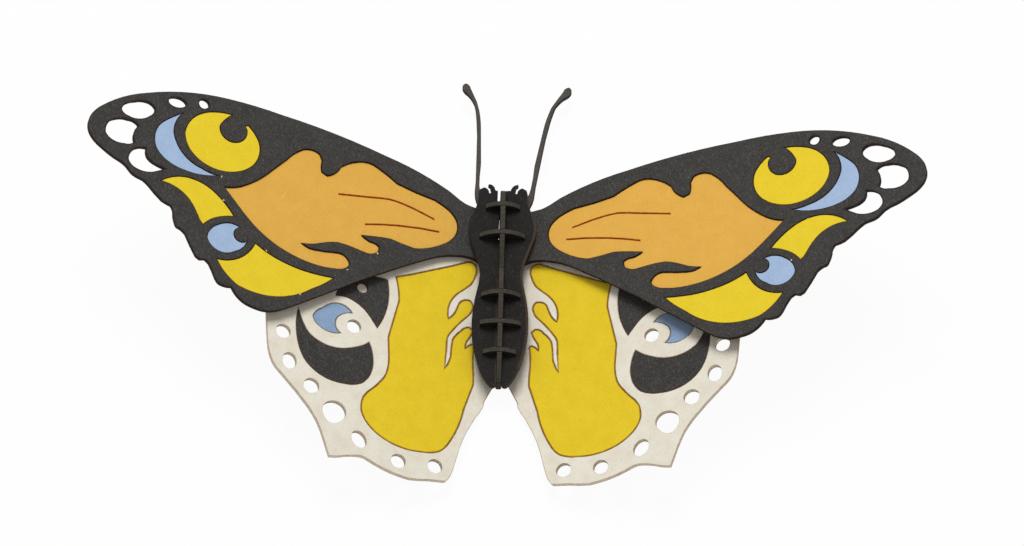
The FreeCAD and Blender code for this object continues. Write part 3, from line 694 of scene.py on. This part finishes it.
def refine(node, axis, cut):
    """A copy of a CAD node with smooth outlines, singed rims and cut edges."""
    source = merged(node)
    smooth = SmoothCard(source, axis)
    source.free()
    form = smooth.form
    marks = smooth.marks
    for sign in (1, -1):
        flats = [face for face in flats_of(form, axis, sign) if not face[marks.wall]]
        for spot, way, normal in add_rim(form, flats, marks, cut):
            spot.co += way * drawn_in(spot, sign == 1, marks, cut) - normal * cut.rounding
        if sign == 1 and cut.sunk:
            sink(form, flats, axis, cut.sunk)
    form.normal_update()
    return finished(node + "_card", form)


# ---------------------------------------------------------------------------------------------
# The pieces, with each one's card, the way its flats face and how it is cut.

# Inlays stand a hairline off their windows, and their slits are a little wider. The openings near
# the wing tips are narrower than the CAD's, the bead holes wider.
GAP = 0.08 * MM
SLIT = 0.03 * MM
TIP_OPENING = -0.2 * MM
BEAD_HOLE = 0.1 * MM
CUT_TAPER = 0.16 * MM

EDGE_ROUNDING = 0.1 * MM
GOLDEN_RIM = 0.36 * MM
FLANK_RIM = 0.55 * MM
CLUB_START = 35.5 * MM
CLUB_SHRINK = 0.05 * MM
RIGHT_STALK_SWELL = 0.05 * MM


def antenna_swell(place):
    """The clubs of the antennae are a little slimmer than the CAD's, the right stalk thicker."""
    if place.y > CLUB_START:
        return -CLUB_SHRINK
    return RIGHT_STALK_SWELL if place.x > 0 else 0.0


FRAME_PARTS = {
    "forewings": ("wing_black", UP, Cut(opening=TIP_OPENING, taper=CUT_TAPER)),
    "hindwings": ("cream_card", UP, Cut(opening=BEAD_HOLE, taper=CUT_TAPER)),
    # The antennae's rims take painted shade along their right side; the body plate's right flank takes
    # the painted brown band of its cut wall.
    "antennae": ("antenna_black", UP, Cut(burn_and_shade_way=WEST, swell=antenna_swell)),
    "body_plate": ("shaded_body_black", UP, Cut(burn_and_shade_way=WEST, flank_rim=FLANK_RIM)),
    "spine": ("shaded_edge_black", ACROSS, Cut(rounding=EDGE_ROUNDING)),
}
RIB = ("shaded_edge_black", ALONG, Cut(rounding=EDGE_ROUNDING))
INLAY = Cut(gap=GAP, opening=SLIT)
INLAYS = {
    "black_card": ("inlay_black", INLAY),
    "orange_card": ("orange_card", INLAY._replace(sunk=0.3 * MM)),
    "yellow_card": ("yellow_card", INLAY._replace(sunk=0.12 * MM)),
    "blue_card": ("blue_card", INLAY._replace(sunk=0.12 * MM)),
    "golden_card": ("golden_card", INLAY._replace(sunk=0.06 * MM, rim_width=GOLDEN_RIM)),
}


def make_up(name, slot):
    """The look, the axis and the cut of the piece that shows a CAD node."""
    if name in FRAME_PARTS:
        return FRAME_PARTS[name]
    if name.endswith("_rib"):
        return RIB
    look, cut = INLAYS[slot]
    # The hindwings' crescents take the blue card darkened as painted shade of the forewings.
    if name.endswith("hind_blue_crescent"):
        look = "shaded_hind_blue"
    return look, UP, cut


pieces = {}
for name in sorted(nodes):
    slot = slot_of[name]
    look, axis, cut = make_up(name, slot)
    piece = refine(name, axis, cut)
    piece.data.materials.append(cards[look])
    pieces[name] = piece
    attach(piece, "root")
    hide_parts(name)


# ---------------------------------------------------------------------------------------------
# Fibres that lie in the faces of the card.

FIBRE_LENGTH = 0.7 * MM
FIBRE_WIDTH = 0.05 * MM
FIBRE_LIFT = 0.03 * MM
SHORTEST_FIBRE = 0.35

# The numbers of a random value node's sockets for plain numbers.
RANDOM_LOWEST, RANDOM_HIGHEST, RANDOM_RESULT = 2, 3, 1

# For each card, the look of its fibres, how many there are to a square metre, and their seed.
FIBRES_ON = {
    "forewings": ("black_fibre", 550000, 3),
    "hindwings": ("cream_fibre", 300000, 5),
    "body_plate": ("black_fibre", 150000, 8),
}


def fibre_tree():
    """Scatters short flat fibres over a card's upper face, lying in it every way round."""
    tree = bpy.data.node_groups.new("card_fibres", "GeometryNodeTree")
    tree.interface.new_socket("Card", in_out="INPUT", socket_type="NodeSocketGeometry")
    for label in ("Per Square Metre", "Fibre Length", "Fibre Width", "Lift"):
        tree.interface.new_socket(label, in_out="INPUT", socket_type="NodeSocketFloat")
    tree.interface.new_socket("Seed", in_out="INPUT", socket_type="NodeSocketInt")
    tree.interface.new_socket("Look", in_out="INPUT", socket_type="NodeSocketMaterial")
    tree.interface.new_socket("Fibres", in_out="OUTPUT", socket_type="NodeSocketGeometry")
    start = tree.nodes.new("NodeGroupInput").outputs
    end = tree.nodes.new("NodeGroupOutput")

    def node(kind, inputs, **settings):
        """A new node. Its inputs are numbers, or the outputs of other nodes."""
        made = tree.nodes.new(kind)
        for setting, value in settings.items():
            setattr(made, setting, value)
        for socket, value in inputs.items():
            if isinstance(value, bpy.types.NodeSocket):
                tree.links.new(value, made.inputs[socket])
            else:
                made.inputs[socket].default_value = value
        return made

    def random_between(lowest, highest):
        """A number that differs from fibre to fibre."""
        draw = node("FunctionNodeRandomValue",
                    {RANDOM_LOWEST: lowest, RANDOM_HIGHEST: highest, "Seed": start["Seed"]})
        return draw.outputs[RANDOM_RESULT]

    facing = node("ShaderNodeSeparateXYZ", {0: node("GeometryNodeInputNormal", {}).outputs[0]})
    upper = node("FunctionNodeCompare", {0: facing.outputs["Z"], 1: FACING_UP}, operation="GREATER_THAN")
    spread = node("GeometryNodeDistributePointsOnFaces",
                  {"Mesh": start["Card"], "Selection": upper.outputs["Result"],
                   "Density": start["Per Square Metre"], "Seed": start["Seed"]})
    sizes = node("ShaderNodeCombineXYZ",
                 {"X": start["Fibre Length"], "Y": start["Fibre Width"], "Z": start["Lift"]})
    fibre = node("GeometryNodeMeshCube", {"Size": sizes.outputs[0]})
    spin = node("ShaderNodeCombineXYZ", {"Z": random_between(-math.pi, math.pi)})
    turned = node("FunctionNodeRotateEuler",
                  {"Rotation": spread.outputs["Rotation"], "Rotate By": spin.outputs[0]}, space="LOCAL")
    copies = node("GeometryNodeInstanceOnPoints",
                  {"Points": spread.outputs["Points"], "Instance": fibre.outputs["Mesh"],
                   "Rotation": turned.outputs[0], "Scale": random_between(SHORTEST_FIBRE, 1.0)})
    real = node("GeometryNodeRealizeInstances", {"Geometry": copies.outputs[0]})
    dressed = node("GeometryNodeSetMaterial", {"Geometry": real.outputs[0], "Material": start["Look"]})
    tree.links.new(dressed.outputs[0], end.inputs[0])
    return tree


def grow_fibres(card_name, tree, look, density, seed):
    """The fibres of a card, as a plain mesh of their own."""
    name = card_name + "_fibres"
    host = bpy.data.objects.new(name + "_host", pieces[card_name].data)
    bpy.context.scene.collection.objects.link(host)
    grower = host.modifiers.new("fibres", "NODES")
    grower.node_group = tree
    values = {"Per Square Metre": density, "Fibre Length": FIBRE_LENGTH, "Fibre Width": FIBRE_WIDTH,
              "Lift": FIBRE_LIFT, "Seed": seed, "Look": cards[look]}
    for item in tree.interface.items_tree:
        if item.name in values:
            grower[item.identifier] = values[item.name]
    bpy.context.view_layer.update()
    ready = host.evaluated_get(bpy.context.evaluated_depsgraph_get())
    mesh = bpy.data.meshes.new_from_object(ready)
    host.modifiers.clear()
    bpy.data.objects.remove(host)
    mesh.name = name
    grown = bpy.data.objects.new(name, mesh)
    bpy.context.scene.collection.objects.link(grown)
    return grown


fibres = fibre_tree()
for card_name, (look, density, seed) in FIBRES_ON.items():
    grown = grow_fibres(card_name, fibres, look, density, seed)
    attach(grown, "root")


# ---------------------------------------------------------------------------------------------
# Small marks: torn nibs, a scratch, and the rounds of cream card in the black wedges.

UNIT_RADIUS = 0.5

# Where the cut pieces were held, in millimetres.
NIBS = ((-49.6, 7.7, 17.7), (-41.9, -0.7, 15.0), (-50.0, 12.3, 17.9), (-27.6, -1.6, 10.2),
        (-22.3, 2.7, 8.5), (-35.8, -8.1, 12.9), (53.0, 5.9, 18.9), (53.5, 0.5, 19.2), (50.2, -2.2, 18.3))
NIB_SIZE = (0.5 * MM, 0.3 * MM, 0.2 * MM)
NIB_TURN = 2.1
NIB_TILT = 0.3

# The scratch's ends, in millimetres.
SCRATCH = ((-39.6, 9.9, 14.06), (-37.9, 13.2, 13.53))
SCRATCH_WIDTH = 0.14 * MM
SCRATCH_HEIGHT = 0.1 * MM

# How far under the face of a black wedge its round of cream card starts.
DOT_DEPTH = 0.45 * MM


def torn_nibs(name):
    """Torn specks of card, where the cut pieces were held until they were pressed out."""
    form = bmesh.new()
    for number, place in enumerate(NIBS):
        tilt = Matrix.Rotation(number * NIB_TURN, 4, "Z") @ Matrix.Rotation(NIB_TILT, 4, "X")
        shape = Matrix.Translation(Vector(place) * MM) @ tilt @ Matrix.Diagonal((*NIB_SIZE, 1.0))
        bmesh.ops.create_icosphere(form, subdivisions=1, radius=UNIT_RADIUS, matrix=shape)
    return finished(name, form)


def scratch(name):
    """A thin raised line between two places on a card."""
    start, end = (Vector(place) * MM for place in SCRATCH)
    along = end - start
    turn = along.to_track_quat("X", "Z").to_matrix().to_4x4()
    size = Matrix.Diagonal((along.length, SCRATCH_WIDTH, SCRATCH_HEIGHT, 1.0))
    shape = Matrix.Translation((start + end) / 2) @ turn @ size
    form = bmesh.new()
    bmesh.ops.create_icosphere(form, subdivisions=2, radius=UNIT_RADIUS, matrix=shape)
    return finished(name, form)


def wedge_dot(name, wedge):
    """The round of cream card that shows in the hole of a black wedge."""
    hole = min(edge_loops(flats_of(inlays[wedge], UP, 1)), key=length_of)
    form = bmesh.new()
    for edge in hole:
        top_drop = edge.normal * DOT_DEPTH
        bottom_drop = edge.normal * CARD_THICKNESS
        places = (edge.start.co - top_drop, edge.start.co - bottom_drop,
                  edge.end.co - bottom_drop, edge.end.co - top_drop)
        form.faces.new([form.verts.new(place) for place in places])
    bmesh.ops.remove_doubles(form, verts=form.verts, dist=MERGE)
    bmesh.ops.holes_fill(form, edges=form.edges, sides=0)
    bmesh.ops.recalc_face_normals(form, faces=form.faces)
    return finished(name, form)


small_marks = (
    (torn_nibs("nibs"), "nib_pale", "cream_card"),
    (scratch("left_orange_panel_scratch"), "orange_scratch", "orange_card"),
    (wedge_dot("left_wedge_dot", "left_black_wedge"), "cream_card", "cream_card"),
    (wedge_dot("right_wedge_dot", "right_black_wedge"), "cream_card", "cream_card"),
)
for mark, look, slot in small_marks:
    mark.data.materials.append(cards[look])
    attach(mark, "root")


# ---------------------------------------------------------------------------------------------
# Floor and light. The floor shows white and keeps the butterfly's shadow, under a pale backdrop.

FLOOR_REACH = 6.0
FLOOR_DROP = 0.1 * MM
FLOOR_COLOUR = (0.92, 0.92, 0.915, 1)
FLOOR_ROUGHNESS = 0.9
FLOOR_SHEEN = 0.1
FLOOR_GLOW = 0.95
SKY_STRENGTH = 0.36
BACKDROP_COLOUR = (0.8, 0.8, 0.8, 1)
LAMP_PLACE = (-0.08, 0.78, 1.1)
LAMP_POWER = 13.4
LAMP_SIZE = 0.65


def shown_rays(tree):
    """1 for the rays that show a background: the camera's, and those off a mirror or through glass."""
    rays = tree.nodes.new("ShaderNodeLightPath").outputs
    shown = rays["Is Camera Ray"]
    for other in ("Is Glossy Ray", "Is Transmission Ray"):
        either = tree.nodes.new("ShaderNodeMath")
        either.operation = "MAXIMUM"
        tree.links.new(shown, either.inputs[0])
        tree.links.new(rays[other], either.inputs[1])
        shown = either.outputs[0]
    return shown


def floor_white(name):
    """A pale floor that stays white behind the butterfly and keeps a soft shadow."""
    look = Look(name)
    look.shader.inputs["Base Color"].default_value = FLOOR_COLOUR
    look.shader.inputs["Roughness"].default_value = FLOOR_ROUGHNESS
    look.shader.inputs["Specular IOR Level"].default_value = FLOOR_SHEEN
    glow = look.add("ShaderNodeEmission")
    glow.inputs["Color"].default_value = WHITE
    glow.inputs["Strength"].default_value = 1.0
    blend = look.add("ShaderNodeMixShader")
    look.link(look.math("MULTIPLY", shown_rays(look.tree), FLOOR_GLOW), blend.inputs[0])
    look.link(look.shader.outputs[0], blend.inputs[1])
    look.link(glow.outputs[0], blend.inputs[2])
    look.link(blend.outputs[0], look.tree.nodes["Material Output"].inputs["Surface"])
    return look.material


floor_mesh = bpy.data.meshes.new("floor")
floor_corners = [(x * FLOOR_REACH, y * FLOOR_REACH, 0) for x, y in ((-1, -1), (1, -1), (1, 1), (-1, 1))]
floor_mesh.from_pydata(floor_corners, [], [(0, 1, 2, 3)])
floor_mesh.materials.append(floor_white("floor_white"))
floor = bpy.data.objects.new("floor", floor_mesh)
floor.location.z = -FLOOR_DROP
bpy.context.scene.collection.objects.link(floor)

world = bpy.data.worlds.new("studio")
bpy.context.scene.world = world
world.use_nodes = True
world_tree = world.node_tree
sky = world_tree.nodes["Background"]
sky.inputs["Color"].default_value = WHITE
sky.inputs["Strength"].default_value = SKY_STRENGTH
backdrop = world_tree.nodes.new("ShaderNodeBackground")
backdrop.inputs["Color"].default_value = BACKDROP_COLOUR
backdrop.inputs["Strength"].default_value = 1.0
sky_or_backdrop = world_tree.nodes.new("ShaderNodeMixShader")
world_tree.links.new(shown_rays(world_tree), sky_or_backdrop.inputs[0])
world_tree.links.new(sky.outputs[0], sky_or_backdrop.inputs[1])
world_tree.links.new(backdrop.outputs[0], sky_or_backdrop.inputs[2])
world_tree.links.new(sky_or_backdrop.outputs[0], world_tree.nodes["World Output"].inputs["Surface"])

lamp = bpy.data.lights.new("key_lamp", "AREA")
lamp.energy = LAMP_POWER
lamp.size = LAMP_SIZE
light = bpy.data.objects.new("key_lamp", lamp)
light.location = LAMP_PLACE
light.rotation_euler = (-Vector(LAMP_PLACE)).to_track_quat("-Z", "Y").to_euler()
bpy.context.scene.collection.objects.link(light)

bpy.context.scene.view_settings.view_transform = "Standard"
